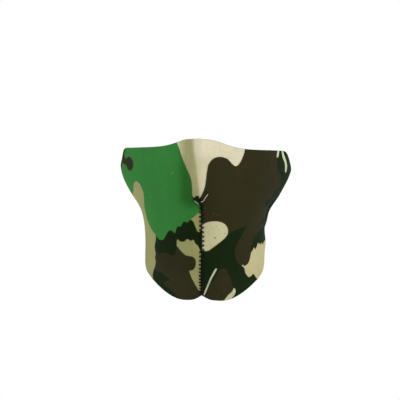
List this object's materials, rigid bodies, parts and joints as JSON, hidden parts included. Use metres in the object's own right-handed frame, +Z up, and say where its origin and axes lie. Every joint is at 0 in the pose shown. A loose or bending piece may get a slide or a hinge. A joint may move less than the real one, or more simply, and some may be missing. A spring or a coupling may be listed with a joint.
{
  "type": "camouflage face mask",
  "caption": "Half-face mask of printed knit over foam, darted at the centre front, with side wings that close behind the head under a peeling hook-and-loop tab.",
  "frame": {"origin": "on the midplane at the height and depth of the ears of the head the mask is worn on", "axes": "+Z up, the nose side faces -Y, +X towards the wearer's left"},
  "size_m": [0.1632, 0.2124, 0.1445],
  "materials": {
    "printed_jersey": "matte knit, woodland camouflage print in green, dark olive, brown and sand",
    "foam": "matte closed-cell foam",
    "lining": "matte knit",
    "dark_thread": "textured thread",
    "light_thread": "textured thread",
    "tape_base": "matte woven tape",
    "hooks": "satin moulded nylon",
    "loop_pile": "brushed pile",
    "tape_thread": "lockstitch thread"
  },
  "bodies": {
    "front": {"front_face_jersey": "printed_jersey", "front_foam_core": "foam", "front_lining": "lining", "centre_seam_zigzag": "dark_thread", "centre_seam_inner_zigzag": "dark_thread", "seam_top_bar_tack": "dark_thread", "seam_bottom_bar_tack": "dark_thread", "seam_thread_tails": "light_thread"},
    "left_wing": {"left_wing_face_jersey": "printed_jersey", "left_wing_foam_core": "foam", "left_wing_lining": "lining"},
    "left_tab": {"left_tab_face_jersey": "printed_jersey", "left_tab_foam_core": "foam", "left_tab_lining": "lining", "hook_tape_base": "tape_base", "hook_rows": "hooks", "hook_tape_stitching": "tape_thread"},
    "right_wing": {"right_wing_face_jersey": "printed_jersey", "right_wing_foam_core": "foam", "right_wing_lining": "lining", "loop_tape_base": "tape_base", "loop_pile": "loop_pile", "loop_tape_stitching": "tape_thread"}
  },
  "joints": [
    {"name": "left_wing_swing", "type": "hinge", "parent": "front", "child": "left_wing", "pos_m": [0.06725, 0.02994, -0.03187], "axis": [-0.3831, -0.1706, -0.9078], "range_deg": [0, 75]},
    {"name": "left_tab_peel", "type": "hinge", "parent": "left_wing", "child": "left_tab", "pos_m": [0.03094, 0.08061, -0.03281], "axis": [-0.1128, -0.2938, -0.9492], "range_deg": [0, 120]},
    {"name": "right_wing_swing", "type": "hinge", "parent": "front", "child": "right_wing", "pos_m": [-0.06725, 0.02994, -0.03187], "axis": [-0.3831, 0.1706, 0.9078], "range_deg": [0, 37.5]}
  ],
  "couplings": [
    {"joint": "right_wing_swing", "follows": "left_wing_swing", "ratio": 0.5}
  ]
}
